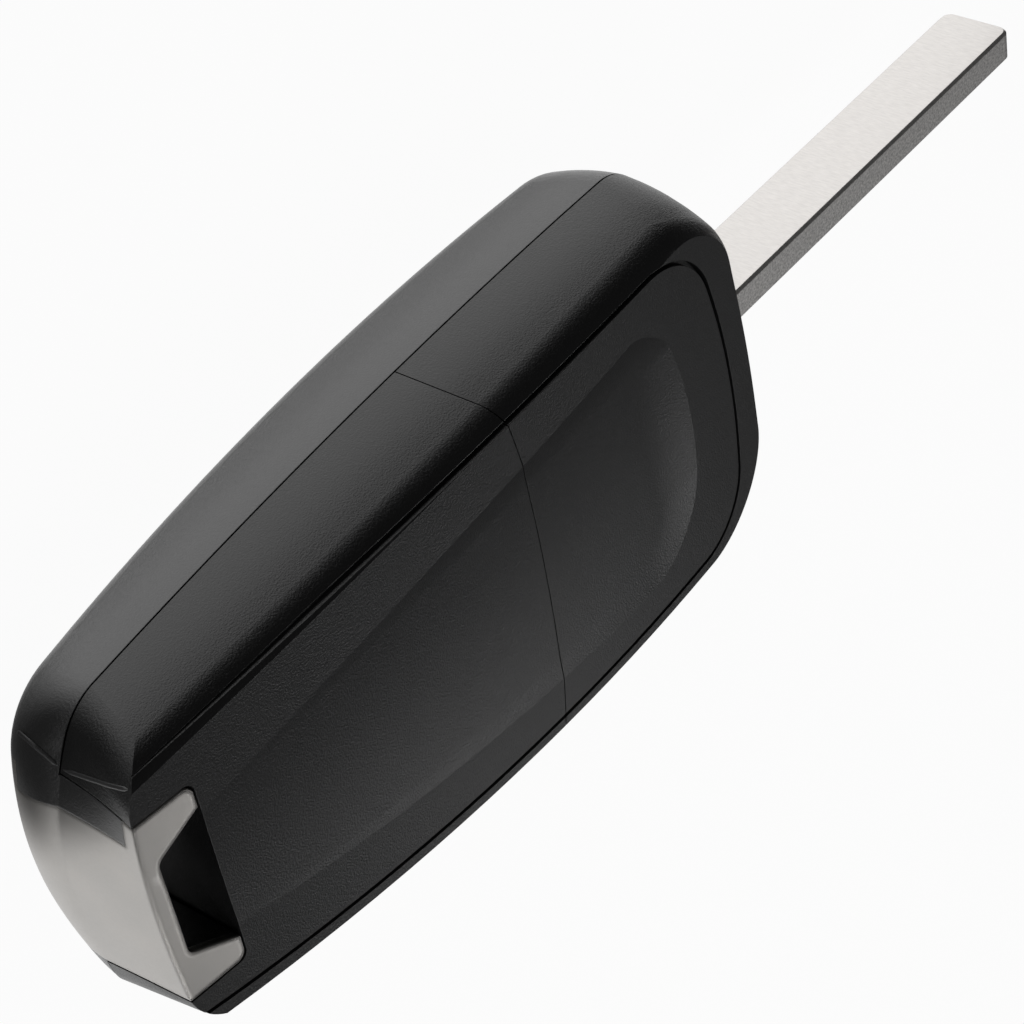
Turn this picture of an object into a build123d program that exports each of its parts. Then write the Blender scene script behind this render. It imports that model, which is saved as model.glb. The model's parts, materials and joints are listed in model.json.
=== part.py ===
"""A flip-key fob shell, lying on its front face with the uncut blade turned out.

X runs from the key-ring loop to the blade tip, +Y is the plain long side, and -Y is the
long side that the folded blade lies in. Z is up, out of the back face.
The fob is drawn with its front face at z = 0 and moved to its own frame at the end.
"""
from build123d import *
from math import atan2, cos, degrees, radians, sin, sqrt
import os

# long sides, each a gentle arc, and the two ends
plain_side_half = 17.18
plain_side_widest_x = 65.7
plain_side_radius = 436.0
slot_side_half = 17.65
slot_side_widest_x = 65.0
slot_side_radius = 590.0
blade_end_x = 74.55
blade_end_middle_y = -2.0
blade_end_plain_drop = 1.8
blade_end_slot_drop = 0.65
loop_middle_y = -0.6
# where the long sides are taken to meet the loop end
loop_plain_corner_x = 6.0
loop_slot_corner_x = 4.0

# plan at four levels: where the loop end lies, how it bows on either side of its middle, and its corners
front_level, front_loop_x, front_plain_bow, front_slot_bow = 0.0, 3.6, 28.0, 35.0
front_plain_corner, front_slot_corner, front_blade_corner = 6.5, 7.5, 11.0
waist_level, waist_loop_x, waist_plain_bow, waist_slot_bow = 3.6, 1.3, 30.0, 38.0
waist_plain_corner, waist_slot_corner, waist_blade_corner = 6.5, 6.0, 6.4
seam_z, seam_loop_x, seam_plain_bow, seam_slot_bow = 7.15, 1.2, 20.0, 75.0
seam_plain_corner, seam_slot_corner, seam_blade_corner = 5.4, 3.6, 4.4
ridge_level, ridge_loop_x, ridge_plain_bow, ridge_slot_bow = 15.6, 1.9, 110.0, 110.0
ridge_plain_corner, ridge_slot_corner = 4.2, 6.0
# the blade end's corners grow rounder towards the back
upper_level, upper_plain_corner, upper_slot_corner = 13.5, 7.3, 8.5
top_level, top_plain_corner, top_slot_corner = 19.5, 15.0, 15.0

# heights
back_z = 17.8
back_crown_x = 42.5
back_crown_radius = 312.5
back_cross_radius = 480.0
back_cross_rise = 0.25
front_crown_x = 42.0
front_crown_radius = 400.0
shoulder_radius = 3.4
shoulder_rise = 1.06
shoulder_end_rise = 0.9
shoulder_tilt = 1.1
front_edge_radius = 1.5
crown_swing = 14.0
over = 6.0
hair = 0.02

# walls
wall = 1.6
back_wall = 1.5
bay_floor = 1.9
part_gap = 0.1
reveal_height, reveal_depth = 0.14, 0.35
split_x = 44.28
split_radius = 103.0

# decorative groove round the back, and the shallow dish inside it
groove_half = 15.84
groove_widest_x = 59.7
groove_radius = 446.0
groove_end_x = 70.5
groove_end_middle_y = -2.4
groove_plain_drop = 3.0
groove_slot_drop = 1.1
groove_plain_corner = 7.5
groove_slot_corner = 6.5
groove_width = 0.38
groove_depth = 0.7
dish_plain_edge, dish_slot_edge, dish_end_edge = 3.0, 2.3, 5.7
dish_plain_corner, dish_slot_corner = 1.0, 4.0
dish_start_x, dish_start_depth = 8.0, 0.12
dish_middle_x, dish_middle_depth = 44.0, 0.52
dish_end_depth = 0.86
dish_bow = 230.0
dish_cove = 20.0

# key-ring loop: a slot through the fob, with a plated trim over a plastic core
ring_slot_near = 3.35
ring_slot_far = 7.65
ring_slot_near_half = 4.9
ring_slot_far_half = 7.15
trim_half = 9.3
trim_wall = 0.8
trim_tip_radius = 0.9
# on the plain side the core comes out flush beside the trim's end wall, between the two brackets
cheek_width = 2.3
cheek_low_z, cheek_high_z = 3.2, 14.1
cover_gap = 0.2

# blade and hinge
pivot_x = 66.0
pivot_y = -7.85
blade_y = -0.2
blade_z = 8.71
blade_height = 7.0
blade_thick = 3.0
blade_tip_x = 122.5
blade_tip_round = 1.1
blade_edge = 0.25
fold_angle = 182.5
tang_height = 4.8
tang_thick = 2.5
tang_start_x = 63.5
hub_radius = 8.0
hub_height = 7.4
hub_block_start_x = 62.5
hub_block_end_x = 74.2
hub_block_skin = 0.8
upper_journal_radius = 5.5
upper_journal_top = 14.9
lower_journal_radius = 6.6
lower_journal_base = 2.0
running_gap = 0.06
slot_gap = 0.1
sweep_gap = 0.2
blade_side_gap = 0.4
hub_bore_radius = 4.2
hub_web = 1.0
hub_counterbore_radius = 5.6
hub_counterbore_top = 5.4
stop_reach = 1.0
stop_width = 20.0
stop_low_z, stop_high_z = 3.6, 4.8
stop_rest_angle = 190.0
stop_slack = 3.0
pin_radius = 0.8
pin_x = 68.8
pin_margin = 0.1

# release button and its spring
release_radius = 4.5
release_gap = 0.1
release_recess = 0.3
release_flange = 0.8
release_flange_thick = 1.0
release_stem_radius = 3.9
release_stem_top = 4.2
release_bore = 2.6
release_travel = 2.0
spring_wire = 0.35
spring_turns = 6.0
spring_clearance = 0.35

# keypad
field_inset = 5.0
field_start_x, field_end_x = 11.5, 71.0
field_corner = 6.0
field_edge = 0.35
key_names = ("lock_button", "unlock_button", "boot_button")
key_first_x = 19.0
key_pitch = 11.5
key_length = 8.5
key_width = 11.0
key_corner = 3.0
key_gap = 0.25
key_recess = 0.25
key_crown = 0.3
key_flange = 0.7
key_flange_thick = 0.7
mat_margin = 0.7
mat_thick = 0.8
mat_dome_radius = 3.0
mat_dome_height = 1.1
mat_dome_wall = 0.7
mat_nub_radius = 1.2
mat_gap = 0.2

# board bay and the two screws under the battery cover
bay_start_x = 9.4
bay_end_x = 56.0
bay_slot_y = -9.9
bay_corner_y = 3.7
bay_corner_end_x = 62.0
screw_x = 40.5
screw_plain_inset = 3.55
screw_slot_y = -8.9
boss_radius = 1.7
tab_radius = 2.3
tab_thick = 1.2
tab_gap = 0.3
screw_shank_radius = 0.8
screw_shank_length = 5.2
screw_head_radius = 1.6
screw_head_height = 1.0
screw_socket_radius = 0.6
screw_socket_depth = 0.5


def plain_y(x):
    """Half-width on the plain side."""
    return plain_side_half - plain_side_radius + sqrt(plain_side_radius**2 - (x - plain_side_widest_x)**2)


def slot_y(x):
    """Half-width on the side that the blade folds into."""
    return slot_side_half - slot_side_radius + sqrt(slot_side_radius**2 - (x - slot_side_widest_x)**2)


def groove_y(x):
    """Half-width of the groove's middle line."""
    return groove_half - groove_radius + sqrt(groove_radius**2 - (x - groove_widest_x)**2)


def back_height(x):
    """Height of the back face over its edge at one place along the fob."""
    return back_z - back_crown_radius + sqrt(back_crown_radius**2 - (x - back_crown_x)**2)


def front_height(x):
    """Height of the front face at one place along the fob."""
    return front_crown_radius - sqrt(front_crown_radius**2 - (x - front_crown_x)**2)


def corner(face, x, y, radius):
    """Rounds the one corner of a face that lies nearest to a point."""
    vertex = face.vertices().sort_by_distance((x, y, 0))[0]
    return fillet(vertex, radius)


def ring_face(points, middles):
    """A face bounded by arcs from point to point through the given middles."""
    closed = points[1:] + points[:1]
    return make_face([ThreePointArc(a, m, b) for a, m, b in zip(points, middles, closed)])


def loop_end_x(y, x, bow):
    """Where the loop end lies at a distance from its middle, when it bows with a radius."""
    return x + bow - sqrt(bow**2 - (y - loop_middle_y)**2)


def body_face(x, plain_bow, slot_bow, plain_corner, slot_corner, blade_corner, inset=0.0, far=0.0):
    """Plan outline of the fob: two long arcs and two bowed ends, with rounded corners."""
    middle = x + inset
    plain_loop_x = loop_end_x(plain_y(loop_plain_corner_x) - inset, middle, plain_bow)
    slot_loop_x = loop_end_x(inset - slot_y(loop_slot_corner_x), middle, slot_bow)
    end_x = blade_end_x + far - inset
    plain_end_x, slot_end_x = end_x - blade_end_plain_drop, end_x - blade_end_slot_drop
    plain_middle_x, slot_middle_x = 0.5 * (plain_loop_x + plain_end_x), 0.5 * (slot_loop_x + slot_end_x)
    plain_loop_y, slot_loop_y = plain_y(plain_loop_x) - inset, inset - slot_y(slot_loop_x)
    half_plain, half_slot = 0.5 * (plain_loop_y + loop_middle_y), 0.5 * (slot_loop_y + loop_middle_y)
    points = [(plain_loop_x, plain_loop_y), (plain_end_x, plain_y(plain_end_x) - inset),
              (slot_end_x, inset - slot_y(slot_end_x)), (slot_loop_x, slot_loop_y), (middle, loop_middle_y)]
    middles = [(plain_middle_x, plain_y(plain_middle_x) - inset), (end_x, blade_end_middle_y),
               (slot_middle_x, inset - slot_y(slot_middle_x)),
               (loop_end_x(half_slot, middle, slot_bow), half_slot),
               (loop_end_x(half_plain, middle, plain_bow), half_plain)]
    radii = [plain_corner, blade_corner, blade_corner, slot_corner]
    face = ring_face(points, middles)
    for (px, py), radius in zip(points, radii):
        face = corner(face, px, py, radius - inset)
    return face


def front_face(inset=0.0):
    """Plan outline level with the lowest point of the front."""
    face = body_face(front_loop_x, front_plain_bow, front_slot_bow, front_plain_corner,
                     front_slot_corner, front_blade_corner, inset)
    return Pos(0, 0, front_level) * face


def waist_face(inset=0.0):
    """Plan outline half-way up the front housing."""
    face = body_face(waist_loop_x, waist_plain_bow, waist_slot_bow, waist_plain_corner,
                     waist_slot_corner, waist_blade_corner, inset)
    return Pos(0, 0, waist_level) * face


def seam_plan(inset=0.0, far=0.0):
    """Plan outline at the seam between the front and the rear, drawn at height zero."""
    return body_face(seam_loop_x, seam_plain_bow, seam_slot_bow, seam_plain_corner,
                     seam_slot_corner, seam_blade_corner, inset, far)


def ridge_plan(inset=0.0, far=0.0):
    """Plan outline at the ridge over the loop end, drawn at height zero."""
    return body_face(ridge_loop_x, ridge_plain_bow, ridge_slot_bow, ridge_plain_corner,
                     ridge_slot_corner, seam_blade_corner, inset, far)


def lower_form(inset=0.0):
    """The fob's walls below the seam, which round off towards the front."""
    seam = Pos(0, 0, seam_z) * seam_plan(inset)
    return loft([front_face(inset).face(), waist_face(inset).face(), seam.face()])


def loop_end_form(inset=0.0):
    """Everything inside the leaning loop end above the seam, a hair wider than the walls."""
    seam = Pos(0, 0, seam_z) * seam_plan(inset - hair, over)
    ridge = Pos(0, 0, ridge_level) * ridge_plan(inset - hair, over)
    return loft([seam.face(), ridge.face()], ruled=True) + extrude(ridge, over)


def shoulder_face(plain_corner, slot_corner):
    """Plan outline of the blade end and the long walls, run on past the loop end."""
    early = -over
    plain_end, slot_end = blade_end_x - blade_end_plain_drop, blade_end_x - blade_end_slot_drop
    middle_x = 0.5 * (early + plain_end)
    a, b = (early, plain_y(early)), (plain_end, plain_y(plain_end))
    c, d = (slot_end, -slot_y(slot_end)), (early, -slot_y(early))
    face = make_face([ThreePointArc(a, (middle_x, plain_y(middle_x)), b),
                      ThreePointArc(b, (blade_end_x, blade_end_middle_y), c),
                      ThreePointArc(c, (middle_x, -slot_y(middle_x)), d), Line(d, a)])
    face = corner(face, *b, plain_corner)
    return corner(face, *c, slot_corner)


def side_prism(points, bottom):
    """A wide bar across the fob: under an arc through three (x, z) points, down to a level."""
    (x1, z1), middle, (x2, z2) = points
    top = ThreePointArc((x1, z1), middle, (x2, z2))
    rest = Polyline((x2, z2), (x2, bottom), (x1, bottom), (x1, z1))
    face = Plane.XZ * make_face([top, rest])
    return extrude(face, amount=40, both=True)


def shoulder_form():
    """The long walls and the blade end with their rounded shoulders, run on past the loop end."""
    early = -over
    block = loft([(Pos(0, 0, seam_z) * shoulder_face(seam_blade_corner, seam_blade_corner)).face(),
                  (Pos(0, 0, upper_level) * shoulder_face(upper_plain_corner, upper_slot_corner)).face(),
                  (Pos(0, 0, top_level) * shoulder_face(top_plain_corner, top_slot_corner)).face()])
    top = [(early - 1, back_height(early - 1) + shoulder_rise), (back_crown_x, back_z + shoulder_rise),
           (blade_end_x + 2, back_height(blade_end_x + 2) + shoulder_end_rise)]
    prism = side_prism(top, 0).rotate(Axis((0, 0, back_z), (1, 0, 0)), -shoulder_tilt)
    block = block & prism
    rim = [e for e in block.faces().sort_by(Axis.Z)[-1].edges() if e.center().X > early + 1]
    return fillet(rim, shoulder_radius)


def back_crown(lower=0.0):
    """Everything under the back face, which is bowed both ways; it may be lowered evenly."""
    middle = back_z + back_cross_rise - lower
    half = 30.0
    drop = back_cross_radius - sqrt(back_cross_radius**2 - half**2)
    bow = ThreePointArc((-half, middle - drop), (0, middle), (half, middle - drop))
    rest = Polyline((half, middle - drop), (half, -over), (-half, -over), (-half, middle - drop))
    section = Pos(back_crown_x, 0, 0) * (Plane.YZ * make_face([bow, rest]))
    return swept_both_ways(section, Axis((back_crown_x, 0, middle - back_crown_radius), (0, 1, 0)))


def inner_face(plain, slot, end, plain_corner, slot_corner):
    """Plan outline along the groove's middle line, let out by an offset on each side and at the end."""
    early = -over
    plain_end, slot_end = groove_end_x - groove_plain_drop + end, groove_end_x - groove_slot_drop + end
    middle_x = 0.5 * (early + plain_end)
    a, b = (early, groove_y(early) + plain), (plain_end, groove_y(plain_end) + plain)
    c, d = (slot_end, -groove_y(slot_end) - slot), (early, -groove_y(early) - slot)
    face = make_face([ThreePointArc(a, (middle_x, groove_y(middle_x) + plain), b),
                      ThreePointArc(b, (groove_end_x + end, groove_end_middle_y), c),
                      ThreePointArc(c, (middle_x, -groove_y(middle_x) - slot), d), Line(d, a)])
    face = corner(face, *b, plain_corner)
    return corner(face, *c, slot_corner)


def groove_face(offset):
    """Plan outline inside the groove's middle line, let out evenly."""
    return inner_face(offset, offset, offset, groove_plain_corner + offset, groove_slot_corner + offset)


def groove_cut():
    """The narrow U-shaped groove, as deep everywhere as the back's own bow."""
    ring = groove_face(groove_width / 2) - groove_face(-groove_width / 2)
    return extrude(ring, back_z + over) - back_crown(groove_depth)


def dish_level(x, depth):
    """Height of the dish's floor, at a depth under the middle of the back."""
    return back_height(x) + back_cross_rise - depth


def dish_cut():
    """A shallow dish with broad coved edges that fades out towards the loop."""
    run = sqrt(2 * dish_cove * dish_middle_depth - dish_middle_depth**2)
    reach = dish_cove - run
    outline = inner_face(reach - dish_plain_edge, reach - dish_slot_edge, reach - dish_end_edge,
                         dish_cove + dish_plain_corner, dish_cove + dish_slot_corner)
    far_x, side = blade_end_x + dish_cove, 3 * dish_cove
    outline = outline & rectangle(dish_start_x - 2 * over, far_x, -side, side)
    tool = extrude(outline, back_z + 2 * dish_cove) & dish_room()
    bottom = tool.faces().sort_by(Axis.Z)[0]
    early = bottom.edges().sort_by(Axis.X)[0]
    rim = [e for e in bottom.edges() if abs(e.center().X - early.center().X) > 0.5]
    return fillet(rim, dish_cove)


def dish_room():
    """Everything over the dish's floor, which is bowed along the fob and hollow across it."""
    arc = ThreePointArc((dish_start_x, dish_level(dish_start_x, dish_start_depth)),
                        (dish_middle_x, dish_level(dish_middle_x, dish_middle_depth)),
                        (groove_end_x, dish_level(groove_end_x, dish_end_depth)))
    centre_x, centre_z = arc.arc_center.X, arc.arc_center.Y
    low = centre_z + arc.radius
    half, top = 2 * dish_cove, low + 2 * dish_cove
    edge = low + dish_bow - sqrt(dish_bow**2 - half**2)
    bow = ThreePointArc((-half, edge), (0, low), (half, edge))
    rest = Polyline((half, edge), (half, top), (-half, top), (-half, edge))
    section = Pos(centre_x, loop_middle_y, 0) * (Plane.YZ * make_face([bow, rest]))
    return swept_both_ways(section, Axis((centre_x, 0, centre_z), (0, 1, 0)))


def swept_both_ways(section, axis):
    """A section revolved about an axis across the fob, far enough each way to pass both ends."""
    return revolve(section.rotate(axis, -crown_swing), axis, 2 * crown_swing)


def rear_envelope():
    """Outer form of the two rear pieces together."""
    form = loop_end_form() & shoulder_form() & back_crown()
    return form - groove_cut() - dish_cut()


def front_envelope():
    """Outer form of the front housing: crowned, with rounded edges and a flat keypad field."""
    form = lower_form() & front_crown(0)
    rim = form.faces().sort_by(Axis.Z)[0].edges()
    form = fillet(rim, front_edge_radius)
    field = extrude(field_face(), seam_z)
    field = fillet(field.faces().sort_by(Axis.Z)[0].edges(), field_edge)
    return form + field


def front_crown(raise_by):
    """Everything above the bowed front face, raised evenly."""
    low_x, high_x = -2 * over, blade_end_x + 2 * over
    bow = ThreePointArc((low_x, front_height(low_x) + raise_by), (front_crown_x, raise_by),
                        (high_x, front_height(high_x) + raise_by))
    top = back_z + 2 * over
    rest = Polyline((high_x, front_height(high_x) + raise_by), (high_x, top), (low_x, top),
                    (low_x, front_height(low_x) + raise_by))
    return extrude(Plane.XZ * make_face([bow, rest]), amount=40, both=True)


def field_face():
    """Plan outline of the flat keypad field on the front."""
    start, end = field_start_x, field_end_x
    plain = [(start, plain_y(start) - field_inset), (end, plain_y(end) - field_inset)]
    slot = [(end, field_inset - slot_y(end)), (start, field_inset - slot_y(start))]
    face = make_face(Polyline(*plain, *slot, close=True))
    return fillet(face.vertices(), field_corner)


def swung(shape):
    """The same thing with the blade folded away."""
    return shape.rotate(Axis((pivot_x, pivot_y, 0), (0, 0, 1)), -fold_angle)


def block_top_y():
    """Outer face of the hub's blade block."""
    return blade_y + tang_thick / 2 + hub_block_skin


def slab(face, low, high):
    """A plan face made solid between two heights."""
    return extrude(Pos(0, 0, low) * face, high - low)


def pie(radius, start, end):
    """A pie slice about the pivot, between two angles in degrees."""
    reach = 3 * radius
    steps = 6
    turns = [radians(start + (end - start) * i / steps) for i in range(steps + 1)]
    fan = [(pivot_x, pivot_y)] + [(pivot_x + reach * cos(t), pivot_y + reach * sin(t)) for t in turns]
    return (Pos(pivot_x, pivot_y) * Circle(radius)) & make_face(Polyline(*fan, close=True))


def rectangle(x1, x2, y1, y2):
    """A plan rectangle between two corners."""
    return Pos((x1 + x2) / 2, (y1 + y2) / 2) * Rectangle(x2 - x1, y2 - y1)


def slot_face():
    """Plan of the space that the hub and the blade need as they turn."""
    top = block_top_y()
    near = sqrt((hub_block_end_x - pivot_x)**2 + (top - pivot_y)**2) + sweep_gap
    far = sqrt((pivot_x - hub_block_start_x)**2 + (top - pivot_y)**2) + sweep_gap
    near_angle = degrees(atan2(top - pivot_y, hub_block_end_x - pivot_x))
    far_angle = degrees(atan2(top - pivot_y, hub_block_start_x - pivot_x))
    space = Pos(pivot_x, pivot_y) * Circle(hub_radius + sweep_gap)
    space += rectangle(hub_block_start_x - sweep_gap, blade_end_x + over, pivot_y, top + sweep_gap)
    space += pie(near, near_angle - fold_angle - 2, near_angle)
    space += pie(far, far_angle - fold_angle - 2, far_angle)
    block = rectangle(hub_block_start_x - sweep_gap, hub_block_end_x + sweep_gap, pivot_y, top + sweep_gap)
    folded = rectangle(pivot_x, blade_tip_x + 2 * blade_side_gap,
                       blade_y - blade_thick / 2 - blade_side_gap, blade_y + over)
    return space + swung(block) + swung(folded)


def slot_cut():
    """The open slot for the blade and the hub, between its two heights."""
    low = blade_z - hub_height / 2 - slot_gap
    return slab(slot_face(), low, blade_z + hub_height / 2 + slot_gap)


def bay_face():
    """Plan of the board bay, clear of the slot, inside the fob's walls."""
    room = rectangle(bay_start_x, bay_end_x, bay_slot_y, plain_side_half)
    room += rectangle(bay_start_x, bay_corner_end_x, bay_corner_y, plain_side_half)
    return seam_plan(wall) & room


def hinge_cut():
    """Bores for the hub's two journals, the stop's track and the release button's hole."""
    low = blade_z - hub_height / 2
    half_stop = stop_width / 2 + stop_slack
    track = pie(lower_journal_radius + stop_reach + sweep_gap,
                stop_rest_angle - half_stop - fold_angle, stop_rest_angle + half_stop)
    place = Pos(pivot_x, pivot_y)
    cut = slab(place * Circle(lower_journal_radius + running_gap), lower_journal_base, low)
    cut += slab(track, stop_low_z - slot_gap, low)
    cut += slab(place * Circle(release_radius + release_gap), -1, lower_journal_base)
    return cut + slab(place * Circle(upper_journal_radius + running_gap), low, upper_journal_top + slot_gap)


def trim_zone(grow=0.0):
    """The block of space round the loop that the trim and its core fill."""
    half = trim_half + grow
    face = rectangle(-over, ring_slot_far + grow, loop_middle_y - half, loop_middle_y + half)
    for sign in (-1, 1):
        face = corner(face, ring_slot_far, loop_middle_y + sign * trim_half, trim_tip_radius)
    return slab(face, -1, back_z + over)


def ring_slot():
    """The hole for a key ring: a trapezoid that widens towards the fob."""
    near, far = ring_slot_near_half, ring_slot_far_half
    points = [(ring_slot_near, loop_middle_y - near), (ring_slot_far + cover_gap, loop_middle_y - far),
              (ring_slot_far + cover_gap, loop_middle_y + far), (ring_slot_near, loop_middle_y + near)]
    face = make_face(Polyline(*points, close=True))
    for x, y in (points[0], points[3]):
        face = corner(face, x, y, trim_tip_radius)
    return slab(face, -1, back_z + over)


def loop_outside(front):
    """The loop's outer form, over its core and its trim."""
    return (front + (loop_end_form(hair) & back_crown())) & trim_zone()


def cheek_zone():
    """The space beside the trim's end wall, on the plain side."""
    edge = loop_middle_y + trim_half
    return slab(rectangle(-over, ring_slot_far, edge - cheek_width, edge), cheek_low_z, cheek_high_z)


def loop_core(front):
    """The plastic core of the loop, which the front housing carries under the trim."""
    form = (lower_form(trim_wall) + loop_end_form(trim_wall + hair)) & trim_zone() & front_crown(trim_wall)
    return (form & back_crown(trim_wall)) + (loop_outside(front) & cheek_zone()) - ring_slot()


def loop_trim(front):
    """Plated trim: the end wall and a bracket on the back and on the front, in one piece."""
    return loop_outside(front) - ring_slot() - loop_core(front)


def seam_reveal():
    """The fine shadow gap that runs round the seam, just under it."""
    around = rectangle(-over, blade_end_x + over, -2 * slot_side_half, 2 * plain_side_half)
    return slab(around - seam_plan(reveal_depth), seam_z - reveal_height, seam_z)


def screw_places():
    """Middle of the two screws across the fob."""
    return [plain_y(screw_x) - screw_plain_inset, screw_slot_y]


def key_places():
    """Middle of each of the three keys along the fob."""
    return [key_first_x + i * key_pitch for i in range(len(key_names))]


def key_face(grow):
    """Plan outline of one key, let out by an amount."""
    return RectangleRounded(key_length + 2 * grow, key_width + 2 * grow, key_corner + grow)


def front_housing(front):
    """Front shell with the keypad's openings, the bay, the bosses and the loop's core."""
    shell = front - trim_zone() - seam_reveal() + loop_core(front)
    shell -= slab(bay_face(), 0, seam_z + 1) & front_crown(bay_floor)
    shell -= slab(mat_face(mat_gap), wall, seam_z)
    screw_end = seam_z + tab_thick - screw_shank_length
    for y in screw_places():
        shell += slab(Pos(screw_x, y) * Circle(boss_radius), wall / 2, seam_z)
        shell -= slab(Pos(screw_x, y) * Circle(screw_shank_radius), screw_end, seam_z + 1)
    for x in key_places():
        shell -= slab(Pos(x, 0) * key_face(key_gap), -1, wall)
    return shell - slot_cut() - hinge_cut() - ring_slot()


def split_form(grow):
    """Everything on the loop's side of the split between the two rear pieces."""
    return Pos(split_x - split_radius, 0, 0) * Cylinder(split_radius + grow, 4 * back_z)


def rear_bay():
    """The bay's upper half, under a back wall of even thickness."""
    return slab(bay_face(), 0, back_z + over) & back_crown(back_wall + groove_depth + back_cross_rise)


def tab_face():
    """Plan of the head housing's two screw tabs."""
    reach = split_x + wall - screw_x
    face = Sketch()
    for y in screw_places():
        face += Pos(screw_x, y) * Circle(tab_radius)
        face += rectangle(screw_x, screw_x + reach, y - tab_radius, y + tab_radius)
    return face


def rear_battery_cover(rear):
    """Rear cover on the loop's side, which lifts off the bay."""
    cover = (rear & split_form(-part_gap / 2)) - trim_zone(cover_gap) - rear_bay()
    tab_room = slab(tab_face(), 0, seam_z + tab_thick + screw_head_height + tab_gap)
    tab_room += slab(offset(tab_face(), tab_gap), 0, seam_z + tab_thick + tab_gap)
    return cover - slot_cut() - ring_slot() - tab_room


def rear_head_housing(rear):
    """Rear shell on the blade's side, over the hinge, with two screw tabs."""
    head = (rear - split_form(part_gap / 2)) - rear_bay()
    tabs = slab(tab_face() & seam_plan(wall), seam_z, seam_z + tab_thick)
    head += tabs
    for y in screw_places():
        head -= slab(Pos(screw_x, y) * Circle(screw_shank_radius + part_gap), 0, seam_z + tab_thick + 1)
    return head - slot_cut() - hinge_cut()


def housing_screws():
    """The two small screws that hold the head housing down."""
    head_z = seam_z + tab_thick
    screws = Part()
    for y in screw_places():
        place = Pos(screw_x, y)
        screw = slab(place * Circle(screw_shank_radius), head_z - screw_shank_length, head_z)
        head = slab(place * Circle(screw_head_radius), head_z, head_z + screw_head_height)
        head = fillet(head.edges().sort_by(Axis.Z)[-1], screw_head_height * 0.4)
        socket = RegularPolygon(screw_socket_radius, 6)
        top = head_z + screw_head_height
        screws += screw + head - slab(place * socket, top - screw_socket_depth, top + 1)
    return screws


def key_blade():
    """Uncut blade with a narrower tang inside the hub."""
    low, high = blade_z - blade_height / 2, blade_z + blade_height / 2
    plan = rectangle(hub_block_end_x, blade_tip_x, blade_y - blade_thick / 2, blade_y + blade_thick / 2)
    blank = slab(plan, low, high)
    tip_edges = [e for e in blank.edges().filter_by(Axis.Y) if e.center().X > blade_tip_x - 1]
    blank = fillet(tip_edges, blade_tip_round)
    blank = chamfer(blank.edges().filter_by(Axis.X), blade_edge)
    tang = rectangle(tang_start_x, hub_block_end_x, blade_y - tang_thick / 2, blade_y + tang_thick / 2)
    blade = blank + slab(tang, blade_z - tang_height / 2, blade_z + tang_height / 2)
    return blade - slab(Pos(pin_x, blade_y) * Circle(pin_radius), low, high)


def hinge_hub():
    """Hub that carries the blade: a disc with a block for the tang, two journals and a stop."""
    low, high = blade_z - hub_height / 2, blade_z + hub_height / 2
    place = Pos(pivot_x, pivot_y)
    plan = place * Circle(hub_radius) + rectangle(hub_block_start_x, hub_block_end_x, pivot_y, block_top_y())
    hub = slab(plan, low, high)
    hub += slab(place * Circle(lower_journal_radius), lower_journal_base, low)
    hub += slab(place * Circle(upper_journal_radius), high, upper_journal_top)
    stop = pie(lower_journal_radius + stop_reach,
               stop_rest_angle - stop_width / 2, stop_rest_angle + stop_width / 2)
    hub += slab(stop, stop_low_z, stop_high_z + slot_gap)
    hub -= slab(place * Circle(hub_bore_radius), lower_journal_base - 1, upper_journal_top - hub_web)
    hub -= slab(place * Circle(hub_counterbore_radius), lower_journal_base - 1, hub_counterbore_top)
    tang = rectangle(tang_start_x, hub_block_end_x + 1, blade_y - tang_thick / 2, blade_y + tang_thick / 2)
    hub -= slab(tang, blade_z - tang_height / 2, blade_z + tang_height / 2)
    return hub - slab(Pos(pin_x, blade_y) * Circle(pin_radius), low, high + 1)


def blade_roll_pin():
    """Roll pin through the hub's block and the blade's tang."""
    low, high = blade_z - hub_height / 2, blade_z + hub_height / 2
    return slab(Pos(pin_x, blade_y) * Circle(pin_radius), low + pin_margin, high - pin_margin)


def release_button():
    """Round button on the front that frees the hub: a cap with a flange and a hollow stem."""
    place = Pos(pivot_x, pivot_y)
    cap = slab(place * Circle(release_radius), release_recess, lower_journal_base)
    cap = fillet(cap.edges().sort_by(Axis.Z)[0], field_edge)
    flange = slab(place * Circle(release_radius + release_flange), lower_journal_base,
                  lower_journal_base + release_flange_thick)
    stem = slab(place * Circle(release_stem_radius), lower_journal_base, release_stem_top)
    return cap + flange + stem - slab(place * Circle(release_bore), lower_journal_base, release_stem_top + 1)


def flip_spring():
    """Coil spring between the release button and the hub's closed end."""
    radius = hub_bore_radius - spring_clearance - spring_wire
    low, high = release_stem_top + spring_wire, upper_journal_top - hub_web - spring_wire
    path = Helix((high - low) / spring_turns, high - low, radius, center=(pivot_x, pivot_y, low))
    section = Plane(path @ 0, z_dir=path % 0) * Circle(spring_wire)
    return sweep(section, path, is_frenet=True)


def key_cap(x):
    """One key of the keypad, with a flange that keeps it behind the front wall."""
    place = Pos(x, 0)
    cap = slab(place * key_face(0), key_recess, wall + key_flange_thick)
    cap = fillet(cap.faces().sort_by(Axis.Z)[0].edges(), key_crown)
    return cap + slab(place * key_face(key_flange), wall, wall + key_flange_thick)


def mat_face(grow):
    """Plan of the keypad mat, let out by an amount."""
    half = key_length / 2 + key_flange + mat_margin + grow
    side = key_width / 2 + key_flange + mat_margin + grow
    return rectangle(key_places()[0] - half, key_places()[-1] + half, -side, side)


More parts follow.
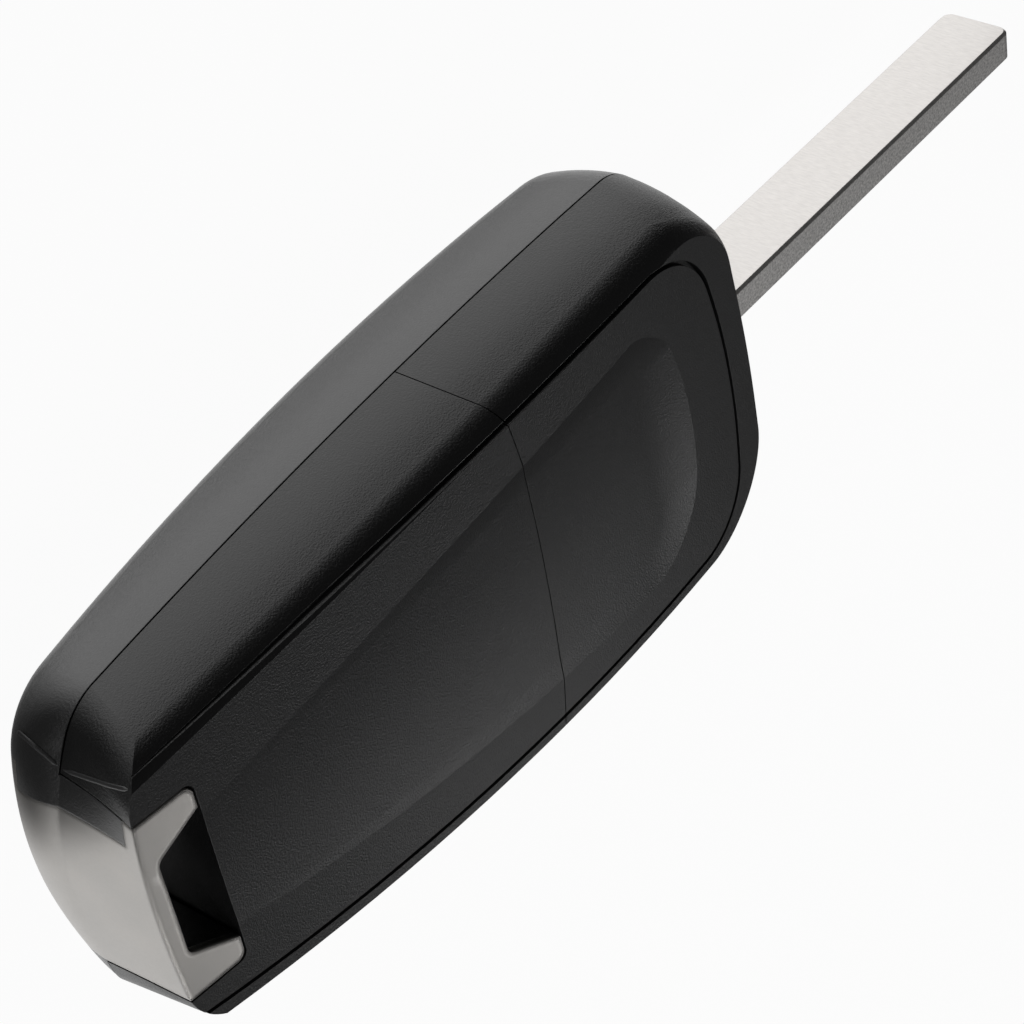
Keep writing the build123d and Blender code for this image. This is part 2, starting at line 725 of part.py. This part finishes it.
def keypad_mat():
    """Rubber mat behind the keys, with a hollow dome over each one."""
    under = wall + key_flange_thick
    mat = slab(mat_face(0), wall, under + mat_thick)
    for x in key_places():
        place = Pos(x, 0)
        mat -= slab(place * key_face(key_flange + mat_gap), wall, under)
        mat += slab(place * Circle(mat_dome_radius), under, under + mat_thick + mat_dome_height)
        mat -= slab(place * Circle(mat_dome_radius - mat_dome_wall), under,
                    under + mat_thick + mat_dome_height - mat_dome_wall)
        mat += slab(place * Circle(mat_nub_radius), under, under + mat_thick + mat_dome_height)
    return mat


def build():
    """Every sub-part by name, still in the drawing's own place."""
    front, rear = front_envelope(), rear_envelope()
    parts = {
        "front_housing": front_housing(front),
        "rear_head_housing": rear_head_housing(rear),
        "rear_battery_cover": rear_battery_cover(rear),
        "loop_trim": loop_trim(front),
        "key_blade": key_blade(),
        "hinge_hub": hinge_hub(),
        "blade_roll_pin": blade_roll_pin(),
        "release_button": release_button(),
        "flip_spring": flip_spring(),
        "keypad_mat": keypad_mat(),
        "housing_screws": housing_screws(),
    }
    for name, x in zip(key_names, key_places()):
        parts[name] = key_cap(x)
    return parts


def main():
    os.makedirs("parts", exist_ok=True)
    parts = build()
    box = Compound(children=[Compound(p.solids()) for p in parts.values()]).bounding_box()
    middle = Vector((box.min.X + box.max.X) / 2, (box.min.Y + box.max.Y) / 2, box.min.Z)
    print("drawing point at the frame's origin:", round(middle.X, 4), round(middle.Y, 4), round(middle.Z, 4))
    for name, part in parts.items():
        export_step(Pos(-middle.X, -middle.Y, -middle.Z) * part, f"parts/{name}.step")


main()
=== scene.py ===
import bpy, bmesh, json
from math import cos, sin, pi
from mathutils import Matrix, Vector
from mathutils.bvhtree import BVHTree


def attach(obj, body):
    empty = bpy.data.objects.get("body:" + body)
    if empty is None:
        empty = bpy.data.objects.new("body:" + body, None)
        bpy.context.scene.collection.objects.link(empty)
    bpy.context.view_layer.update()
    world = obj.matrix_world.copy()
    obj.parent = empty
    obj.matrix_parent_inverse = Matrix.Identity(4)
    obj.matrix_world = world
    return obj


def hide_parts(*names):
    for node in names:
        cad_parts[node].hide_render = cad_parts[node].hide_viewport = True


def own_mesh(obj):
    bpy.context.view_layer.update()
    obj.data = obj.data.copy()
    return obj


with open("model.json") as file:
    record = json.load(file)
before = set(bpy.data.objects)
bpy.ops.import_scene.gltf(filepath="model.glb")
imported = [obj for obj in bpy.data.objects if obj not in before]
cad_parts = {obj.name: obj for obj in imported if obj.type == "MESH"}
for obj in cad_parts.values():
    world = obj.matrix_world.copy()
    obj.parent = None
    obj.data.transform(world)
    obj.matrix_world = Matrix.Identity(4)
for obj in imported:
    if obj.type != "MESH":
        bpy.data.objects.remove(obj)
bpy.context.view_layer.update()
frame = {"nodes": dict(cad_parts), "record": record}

mm = 0.001
print("frame loaded", len(frame["nodes"]), "nodes")


def setIn(name, data):
    made = bpy.data.objects.new(name, data)
    bpy.context.scene.collection.objects.link(made)
    return made


# a shader socket that can be used in ordinary sums
class Value:
    def __init__(self, material, socket):
        self.material, self.socket = material, socket

    def maths(self, operation, a, b):
        return self.material.node("ShaderNodeMath", {"operation": operation}, {0: a, 1: b}).out(0)

    def __add__(self, other):
        return self.maths("ADD", self, other)

    def __radd__(self, other):
        return self.maths("ADD", other, self)

    def __sub__(self, other):
        return self.maths("SUBTRACT", self, other)

    def __rsub__(self, other):
        return self.maths("SUBTRACT", other, self)

    def __mul__(self, other):
        return self.maths("MULTIPLY", self, other)

    def __rmul__(self, other):
        return self.maths("MULTIPLY", other, self)

    def __pow__(self, other):
        return self.maths("POWER", self, other)

    def larger(self, other):
        return self.maths("MAXIMUM", self, other)


class Node:
    def __init__(self, material, made):
        self.material, self.made = material, made

    def out(self, name):
        return Value(self.material, self.made.outputs[name])


class Finish:
    def __init__(self, name):
        self.data = bpy.data.materials.new(name)
        self.data.use_nodes = True
        self.tree = self.data.node_tree
        self.tree.nodes.clear()

    # one way in for every kind of node: its settings first, then its sockets
    def node(self, kind, settings=None, sockets=None):
        count = len(self.tree.nodes)
        made = self.tree.nodes.new(kind)
        made.location = (220 * (count % 8), -260 * (count // 8))   # rows of eight
        for key, value in (settings or {}).items():
            setattr(made, key, value)
        for key, value in (sockets or {}).items():
            if isinstance(value, Value):
                self.tree.links.new(value.socket, made.inputs[key])
            else:
                made.inputs[key].default_value = value
        return Node(self, made)

    def place(self):
        return self.node("ShaderNodeTexCoord").out("Object")

    def axes(self, vector):
        split = self.node("ShaderNodeSeparateXYZ", None, {"Vector": vector})
        return split.out("X"), split.out("Y"), split.out("Z")

    def noise(self, vector, size, detail=2.0, rough=0.5):
        return self.node("ShaderNodeTexNoise", None, {
            "Vector": vector, "Scale": 1 / size, "Detail": detail, "Roughness": rough}).out("Fac")

    # runs a value from one range to another, held at both ends
    def span(self, value, low, high, newLow=0.0, newHigh=1.0, smooth=False):
        settings = {"clamp": True, "interpolation_type": "SMOOTHSTEP" if smooth else "LINEAR"}
        ranges = {"From Min": low, "From Max": high, "To Min": newLow, "To Max": newHigh}
        return self.node("ShaderNodeMapRange", settings, {"Value": value, **ranges}).out("Result")

    def blend(self, amount, first, second):
        return self.node("ShaderNodeMix", {"data_type": "RGBA"}, {
            "Factor": amount, 6: first, 7: second}).out(2)

    # the surface's own direction, with sharp edges rounded off
    def softened(self, radius):
        return self.node("ShaderNodeBevel", {"samples": 6}, {"Radius": radius}).out("Normal")

    # leans a wall's direction down, as a wall with draft has it, and turns a level face's along Y
    def leaned(self, facing, lean, turn):
        z = self.axes(facing)[2]
        level = z * z
        shift = self.node("ShaderNodeCombineXYZ", None, {
            "Y": level * level * turn, "Z": (level - 1) * lean}).out("Vector")
        moved = self.node("ShaderNodeVectorMath", {"operation": "ADD"}, {0: facing, 1: shift}).out("Vector")
        return self.node("ShaderNodeVectorMath", {"operation": "NORMALIZE"}, {0: moved}).out("Vector")

    def bump(self, height, distance, facing=None):
        sockets = {"Height": height, "Distance": distance, "Strength": 1.0}
        if facing:
            sockets["Normal"] = facing
        return self.node("ShaderNodeBump", None, sockets).out("Normal")

    def surface(self, **sockets):
        names = {key.replace("_", " "): value for key, value in sockets.items()}
        shader = self.node("ShaderNodeBsdfPrincipled", None, names)
        self.node("ShaderNodeOutputMaterial", None, {"Surface": shader.out("BSDF")})
        return self.data


# most of a noise lies near a half, so only this much of it is spread over a whole range
mildNoise, firmNoise = (0.3, 0.7), (0.35, 0.65)


# the front housing's black is painted paler than the back's: a painted sheen, for the front half of the side
# that shows brighter
frontPlastic = {
    "colour": (0.010, 0.010, 0.0105, 1), "paleColour": (0.014, 0.014, 0.0145, 1),
    "rough": (0.30, 0.36), "index": 2.0, "grain": 0.17 * mm, "height": 0.026 * mm, "edge": 0.15 * mm,
    "lean": (0.38, 0.18), "leanHeights": (2.0 * mm, 7.1 * mm), "hollow": 0.0,
    # painted shade: the top of the cheek beside the trim takes a darker colour than the rest of the front
    # housing
    "cheekShadeColour": (0.007, 0.007, 0.0075, 1), "cheekLean": -0.18,
    "cheekHeights": (7.05 * mm, 7.2 * mm), "cheekEnd": (-57.4 * mm, -57.6 * mm),
}
rearPlastic = {
    "colour": (0.0055, 0.0055, 0.0060, 1), "paleColour": (0.0085, 0.0085, 0.0090, 1),
    "rough": (0.34, 0.40), "index": 1.70, "grain": 0.17 * mm, "height": 0.042 * mm, "edge": 0.06 * mm,
    "lean": (0.09, -0.16), "leanHeights": (7.1 * mm, 15.0 * mm), "hollow": 0.13,
}
# painted highlight: the ledge's bead is coloured far paler than the black moulding it lies on, so it shows
# as the light line along the step
ledgeHighlightPlastic = {
    "colour": (0.070, 0.070, 0.072, 1), "paleColour": (0.085, 0.085, 0.087, 1),
    "rough": (0.36, 0.42), "index": 1.80, "grain": 0.16 * mm, "height": 0.006 * mm,
}
hubPlastic = {
    "colour": (0.012, 0.012, 0.0125, 1), "paleColour": (0.015, 0.015, 0.016, 1),
    "rough": (0.38, 0.45), "index": 1.55, "grain": 0.25 * mm, "height": 0.006 * mm,
}
keyRubber = {
    "colour": (0.014, 0.014, 0.015, 1), "paleColour": (0.019, 0.019, 0.020, 1),
    "rough": (0.55, 0.62), "index": 1.50, "grain": 0.25 * mm, "height": 0.006 * mm, "edge": 0.25 * mm,
}
matRubber = {
    "colour": (0.030, 0.030, 0.032, 1), "paleColour": (0.038, 0.038, 0.040, 1),
    "rough": (0.65, 0.72), "index": 1.50, "grain": 0.30 * mm, "height": 0.008 * mm,
}
# grainDetail is the fine noise's detail and roughness; hollowReach is how far from the middle
# line a level face has turned inwards by the whole of "hollow"
moulding = {
    "grainDetail": (2.0, 0.6), "patches": 9 * mm, "grainShare": 0.7, "patchShare": 0.3,
    "hollowReach": 15 * mm,
}


# black moulded plastic or rubber with a fine spark-eroded grain
def moulded(name, facts):
    m = Finish(name)
    place = m.place()
    grain = m.noise(place, facts["grain"], *moulding["grainDetail"])
    patches = m.noise(place, moulding["patches"])
    mixed = grain * moulding["grainShare"] + patches * moulding["patchShare"]
    tone = m.blend(m.span(mixed, *firmNoise), facts["colour"], facts["paleColour"])
    facing = m.softened(facts["edge"]) if "edge" in facts else None
    if "lean" in facts:
        x, y, z = m.axes(place)
        lean = m.span(z, *facts["leanHeights"], *facts["lean"], smooth=True)
        if "cheekShadeColour" in facts:   # the top of the cheek beside the trim
            cheek = m.span(z, *facts["cheekHeights"]) * m.span(x, *facts["cheekEnd"])
            # painted shade: darkens the top of the cheek beside the trim
            tone = m.blend(cheek, tone, facts["cheekShadeColour"])
            lean = lean + cheek * facts["cheekLean"]
        facing = m.leaned(facing, lean, y * (-facts["hollow"] / moulding["hollowReach"]))
    return m.surface(Base_Color=tone, Roughness=m.span(grain, *mildNoise, *facts["rough"]),
                     IOR=facts["index"], Normal=m.bump(grain, facts["height"], facing))


chrome = {
    "colour": (0.45, 0.437, 0.420, 1), "warmColour": (0.48, 0.463, 0.442, 1), "patches": 5 * mm,
    "grain": (0.25 * mm, 3.0, 0.6),   # size, detail and roughness of the noise
    "rough": (0.36, 0.42), "height": 0.0015 * mm, "edge": 0.6 * mm, "turn": 0.24,
}


def satinChrome(name):
    m = Finish(name)
    place = m.place()
    grain = m.noise(place, *chrome["grain"])
    patches = m.span(m.noise(place, chrome["patches"]), *mildNoise)
    facing = m.leaned(m.softened(chrome["edge"]), 0.0, chrome["turn"])
    return m.surface(Base_Color=m.blend(patches, chrome["colour"], chrome["warmColour"]), Metallic=1.0,
                     Roughness=m.span(grain, *mildNoise, *chrome["rough"]),
                     Normal=m.bump(grain, chrome["height"], facing))


steel = {
    "faceColour": (0.89, 0.861, 0.833, 1), "speckleColour": (0.79, 0.764, 0.739, 1), "faceRough": 0.30,
    "edgeColour": (0.90, 0.885, 0.87, 1), "pitColour": (0.55, 0.54, 0.53, 1), "edgeRough": 0.62,
    "edge": 0.12 * mm, "edgeFrom": (0.35, 0.6), "stretch": (2.2, 1.0, 0.35),
    # size, detail and roughness of each noise
    "ripple": (0.9 * mm, 3.0, 0.6), "speckle": (0.38 * mm, 3.0, 0.7), "pits": (0.24 * mm, 3.0, 0.65),
    "height": 0.010 * mm, "rippleShare": 0.5, "pitShare": 2.2,
}


# pale milled faces with cutter ripples, and the stock's darker rough skin on the narrow edges
def bladeSteel(name):
    m = Finish(name)
    place = m.place()
    facing = m.softened(steel["edge"])
    z = m.axes(facing)[2]
    edge = m.span(z * z, *steel["edgeFrom"])
    stretched = m.node("ShaderNodeMapping", {"vector_type": "POINT"}, {
        "Vector": place, "Scale": steel["stretch"]}).out("Vector")
    ripple = m.noise(stretched, *steel["ripple"])
    speckle = m.span(m.noise(stretched, *steel["speckle"]), *firmNoise)
    pits = m.noise(place, *steel["pits"])
    face = m.blend(speckle, steel["faceColour"], steel["speckleColour"])
    skin = m.blend(m.span(pits, *firmNoise), steel["edgeColour"], steel["pitColour"])
    height = ripple * (1 - edge) * steel["rippleShare"] + pits * edge * steel["pitShare"]
    return m.surface(Base_Color=m.blend(edge, face, skin), Metallic=1.0,
                     Roughness=m.span(edge, 0.0, 1.0, steel["faceRough"], steel["edgeRough"]),
                     Normal=m.bump(height, steel["height"], facing))


bareSteel = {
    "colour": (0.50, 0.49, 0.48, 1), "rough": (0.30, 0.40), "grain": 0.2 * mm, "height": 0.002 * mm,
}


def plainMetal(name, facts):
    m = Finish(name)
    grain = m.noise(m.place(), facts["grain"])
    return m.surface(Base_Color=facts["colour"], Metallic=1.0,
                     Roughness=m.span(grain, *mildNoise, *facts["rough"]),
                     Normal=m.bump(grain, facts["height"]))


finishes = {
    "front": moulded("frontPlastic", frontPlastic),
    "rear": moulded("rearPlastic", rearPlastic),
    "ledge": moulded("ledgeHighlightPlastic", ledgeHighlightPlastic),
    "hub": moulded("hubPlastic", hubPlastic),
    "key": moulded("keyRubber", keyRubber),
    "mat": moulded("matRubber", matRubber),
    "trim": satinChrome("trimChrome"),
    "blade": bladeSteel("bladeSteel"),
    "bare": plainMetal("bareSteel", bareSteel),
}
print("finishes mixed", len(finishes))


wears = {
    "front_housing": "front", "rear_head_housing": "rear", "rear_battery_cover": "rear",
    "loop_trim": "trim", "release_button": "trim", "key_blade": "blade", "hinge_hub": "hub",
    "blade_roll_pin": "bare", "flip_spring": "bare", "housing_screws": "bare",
    "keypad_mat": "mat", "lock_button": "key", "unlock_button": "key", "boot_button": "key",
}
behaviour = frame["record"]["behaviour"]
bodyOf = {node: body for body, nodes in behaviour["bodies"].items() for node in nodes}
jointOf = {joint["name"]: joint for joint in behaviour["joints"]}

for node, finish in wears.items():
    piece = frame["nodes"][node]
    piece.data.materials.clear()
    piece.data.materials.append(finishes[finish])
print("pieces dressed", len(wears))


# the coil between the release button and the hub's closed end; "Steps" is for one turn
hinge = jointOf["blade_flip"]["pos_m"]
coil = {
    "Centre": (hinge[0], hinge[1], 4.55 * mm), "Radius": 3.5 * mm, "Height": 9.0 * mm,
    "Wire": 0.35 * mm, "Turns": 6.0, "Steps": 28, "Sides": 10,
}


def coilTree():
    tree = bpy.data.node_groups.new("coil", "GeometryNodeTree")
    kinds = {"Centre": "Vector", "Steps": "Int", "Sides": "Int", "Finish": "Material"}
    for name in [*coil, "Finish"]:
        kind = "NodeSocket" + kinds.get(name, "Float")
        tree.interface.new_socket(name, in_out="INPUT", socket_type=kind)
    tree.interface.new_socket("Geometry", in_out="OUTPUT", socket_type="NodeSocketGeometry")
    given = tree.nodes.new("NodeGroupInput").outputs

    def grown(kind, sockets):
        node = tree.nodes.new(kind)
        for name, value in sockets.items():
            if isinstance(value, bpy.types.NodeSocket):
                tree.links.new(value, node.inputs[name])
            else:
                node.inputs[name].default_value = value
        return node.outputs[0] if node.outputs else None

    path = grown("GeometryNodeCurveSpiral", {
        "Resolution": given["Steps"], "Rotations": given["Turns"], "Height": given["Height"],
        "Start Radius": given["Radius"], "End Radius": given["Radius"]})
    wire = grown("GeometryNodeCurvePrimitiveCircle", {"Resolution": given["Sides"], "Radius": given["Wire"]})
    swept = grown("GeometryNodeCurveToMesh", {"Curve": path, "Profile Curve": wire, "Fill Caps": True})
    placed = grown("GeometryNodeTransform", {"Geometry": swept, "Translation": given["Centre"]})
    smooth = grown("GeometryNodeSetShadeSmooth", {"Geometry": placed})
    real = grown("GeometryNodeRealizeInstances", {"Geometry": smooth})
    dressed = grown("GeometryNodeSetMaterial", {"Geometry": real, "Material": given["Finish"]})
    grown("NodeGroupOutput", {"Geometry": dressed})
    return tree


def growCoil():
    piece = setIn("springCoil", bpy.data.meshes.new("springCoil"))
    grower = piece.modifiers.new("coil", "NODES")
    grower.node_group = coilTree()
    facts = {**coil, "Finish": finishes["bare"]}
    for item in grower.node_group.interface.items_tree:
        if item.in_out == "INPUT":
            grower[item.identifier] = facts[item.name]
    made = bpy.data.meshes.new_from_object(piece.evaluated_get(bpy.context.evaluated_depsgraph_get()))
    piece.modifiers.remove(grower)
    piece.data = made
    x, y, foot = coil["Centre"]
    bottom, top = foot - coil["Wire"], foot + coil["Height"] + coil["Wire"]
    travel = jointOf["release_press"]["range_m"][1]
    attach(piece, "shell")
    1 - travel / (top - bottom)
    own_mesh(piece)
    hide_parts("flip_spring")
    print("spring grown, faces", len(made.polygons))


growCoil()


# the low step that runs round the loop's corner, as one soft ledge on each moulding; in mm
ledges = {
    "ledgeFront": {"on": "front_housing", "path": [
        (-57.88, 10.96, 3.08), (-57.93, 11.00, 3.45), (-58.06, 10.82, 4.54),
        (-58.09, 10.41, 5.44), (-58.05, 9.94, 6.26), (-58.05, 9.57, 6.90)]},
    "ledgeRear": {"on": "rear_battery_cover", "path": [
        (-58.04, 9.42, 7.25), (-58.03, 9.69, 8.68), (-58.05, 10.11, 10.35), (-58.17, 10.64, 11.94),
        (-58.28, 11.19, 13.32), (-58.31, 11.54, 14.25), (-58.32, 11.83, 15.03)]},
}
# the ends start at "tip" of the full size and gain "growth" of it with each step
ledgeShape = {
    "halfWidth": 0.20 * mm, "height": 0.16 * mm, "sink": 0.03 * mm, "sides": 12, "steps": 60,
    "tip": 0.15, "growth": 0.25,
}


# a smooth line led by the points, as places a short step apart
def smoothLine(points):
    curve = bpy.data.curves.new("path", "CURVE")
    curve.dimensions = "3D"
    spline = curve.splines.new("NURBS")
    spline.points.add(len(points) - 1)
    for point, place in zip(spline.points, points):
        point.co = (*(v * mm for v in place), 1)
    spline.order_u, spline.use_endpoint_u = 3, True
    spline.resolution_u = ledgeShape["steps"] // len(points)
    holder = bpy.data.objects.new("path", curve)
    mesh = bpy.data.meshes.new_from_object(holder)
    found = [v.co.copy() for v in mesh.vertices]
    bpy.data.objects.remove(holder)
    return found


# the places on the moulding nearest to the line, each with the moulding's own direction there
def lineOn(node, points):
    mesh = frame["nodes"][node].data
    tree = BVHTree.FromPolygons([v.co for v in mesh.vertices], [p.vertices for p in mesh.polygons])
    return [tree.find_nearest(point)[:2] for point in smoothLine(points)]


def layLedge(name, facts):
    line = lineOn(facts["on"], facts["path"])
    last, sides = len(line) - 1, ledgeShape["sides"]
    work = bmesh.new()
    rings = []
    for i, (point, normal) in enumerate(line):
        along = (line[min(i + 1, last)][0] - line[max(i - 1, 0)][0]).normalized()
        across = along.cross(normal).normalized()
        share = min(1.0, ledgeShape["tip"] + ledgeShape["growth"] * min(i, last - i))
        ring = []
        for k in range(sides):
            turn = 2 * pi * k / sides
            offset = across * (cos(turn) * ledgeShape["halfWidth"] * share)
            rise = normal * (sin(turn) * ledgeShape["height"] * share - ledgeShape["sink"])
            ring.append(work.verts.new(point + offset + rise))
        rings.append(ring)
    for a, b in zip(rings, rings[1:]):
        for k in range(sides):
            work.faces.new((a[k], a[(k + 1) % sides], b[(k + 1) % sides], b[k]))
    work.faces.new(rings[0][::-1])
    work.faces.new(rings[-1])
    bmesh.ops.recalc_face_normals(work, faces=work.faces)
    made = bpy.data.meshes.new(name)
    work.to_mesh(made)
    work.free()
    made.shade_smooth()
    # the bead wears the pale finish, a painted highlight
    made.materials.append(finishes["ledge"])
    piece = setIn(name, made)
    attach(piece, bodyOf[facts["on"]])


for name, facts in ledges.items():
    layLedge(name, facts)
print("ledges laid", len(ledges))


# the photograph's viewpoint in mm, with the directions to the picture's right and back to the camera
view = {
    "at": (-135.71, 153.00, 137.28), "right": (0.6124, -0.1510, 0.7760),
    "back": (-0.5244, 0.6570, 0.5417), "lens": 102.75, "sensor": 36.0, "clip": (0.01, 20),
}


def placeCamera():
    camera = setIn("camera", bpy.data.cameras.new("camera"))
    back = Vector(view["back"]).normalized()
    right = Vector(view["right"])
    right = (right - back * right.dot(back)).normalized()
    turned = Matrix((right, back.cross(right), back)).transposed().to_4x4()
    camera.matrix_world = Matrix.Translation(Vector(view["at"]) * mm) @ turned
    camera.data.lens, camera.data.sensor_width = view["lens"], view["sensor"]
    camera.data.clip_start, camera.data.clip_end = view["clip"]
    bpy.context.scene.camera = camera


# places and sizes in mm
lamps = {
    "crescent": {"at": (150, -185, 350), "aim": (-20, 0, 17), "size": (120, 120), "watts": 0.135},
    "bladeSide": {"at": (336, -256, 215), "aim": (30, 0, 12), "size": (220, 180), "watts": 0.013},
    "loopTop": {"at": (25, -144, 380), "aim": (-58, 0, 16), "size": (120, 120), "watts": 0.045},
    "ridge": {"at": (-225, -280, 270), "aim": (-58, 0, 15), "size": (140, 140), "watts": 0.30},
}


def hangLamp(name, facts):
    data = bpy.data.lights.new(name, "AREA")
    data.shape = "RECTANGLE"
    data.size, data.size_y = facts["size"][0] * mm, facts["size"][1] * mm
    data.energy = facts["watts"]
    lamp = setIn(name, data)
    at, aim = Vector(facts["at"]) * mm, Vector(facts["aim"]) * mm
    lamp.location = at
    lamp.rotation_euler = (aim - at).to_track_quat("-Z", "Y").to_euler()


# white to the camera everywhere; what gloss sees of it fades away from the object, and a round spot of
# painted shade lies in it by the loop's corner, a painted dark reflection there
floorFacts = {
    "level": -0.05 * mm, "half": 3.0, "seen": 0.96,
    "colour": (0.86, 0.86, 0.86, 1), "paleColour": (0.88, 0.88, 0.88, 1), "patches": 40 * mm,
    "centreY": -30 * mm, "reach": (110 * mm, 90 * mm), "fade": (0.80, 1.40), "fadeShare": 0.05,
    "shadeSpotAt": (-70 * mm, 13 * mm), "shadeSpotFade": (10.5 * mm, 20 * mm), "shadeSpotShare": 0.08,
}


def floorPaper():
    m = Finish("floorPaper")
    place = m.place()
    x, y, _ = m.axes(place)
    patches = m.span(m.noise(place, floorFacts["patches"]), *mildNoise)
    tone = m.blend(patches, floorFacts["colour"], floorFacts["paleColour"])
    paper = m.node("ShaderNodeBsdfDiffuse", None, {"Color": tone})
    white = m.node("ShaderNodeEmission", None, {"Color": (1, 1, 1, 1), "Strength": 1.0})
    black = m.node("ShaderNodeEmission", None, {"Color": (0, 0, 0, 1), "Strength": 0.0})
    wide, deep = floorFacts["reach"]
    across = y - floorFacts["centreY"]
    away = (x * x * (1 / wide**2) + across * across * (1 / deep**2)) ** 0.5
    fade = m.span(away, *floorFacts["fade"], 1.0, floorFacts["fadeShare"], smooth=True)
    # painted shade: a round dark spot in what gloss sees of the floor, so the loop's corner shows a dark
    # reflection
    spotX, spotY = x - floorFacts["shadeSpotAt"][0], y - floorFacts["shadeSpotAt"][1]
    fromShadeSpot = (spotX * spotX + spotY * spotY) ** 0.5
    shadeSpot = m.span(fromShadeSpot, *floorFacts["shadeSpotFade"], floorFacts["shadeSpotShare"], 1.0, smooth=True)
    path = m.node("ShaderNodeLightPath")
    glossy = path.out("Is Glossy Ray").larger(path.out("Is Transmission Ray"))
    seen = (path.out("Is Camera Ray") * floorFacts["seen"]).larger(glossy * fade * shadeSpot)
    under = m.node("ShaderNodeMixShader", None, {0: glossy, 1: paper.out("BSDF"), 2: black.out("Emission")})
    mixed = m.node("ShaderNodeMixShader", None, {0: seen, 1: under.out("Shader"), 2: white.out("Emission")})
    m.node("ShaderNodeOutputMaterial", None, {"Surface": mixed.out("Shader")})
    return m.data


def layFloor():
    work = bmesh.new()
    bmesh.ops.create_grid(work, x_segments=1, y_segments=1, size=floorFacts["half"])
    for vertex in work.verts:
        vertex.co.z = floorFacts["level"]
    mesh = bpy.data.meshes.new("floor")
    work.to_mesh(mesh)
    work.free()
    mesh.materials.append(floorPaper())
    setIn("floor", mesh)


sky = {"Color": (1, 1, 1, 1), "Strength": 0.05}


def setWorld():
    world = bpy.data.worlds.new("studio")
    bpy.context.scene.world = world
    world.use_nodes = True
    for name, value in sky.items():
        world.node_tree.nodes["Background"].inputs[name].default_value = value
    bpy.context.scene.view_settings.view_transform = "Standard"


placeCamera()
layFloor()
setWorld()
for name, facts in lamps.items():
    hangLamp(name, facts)
print("camera, floor and lamps placed")
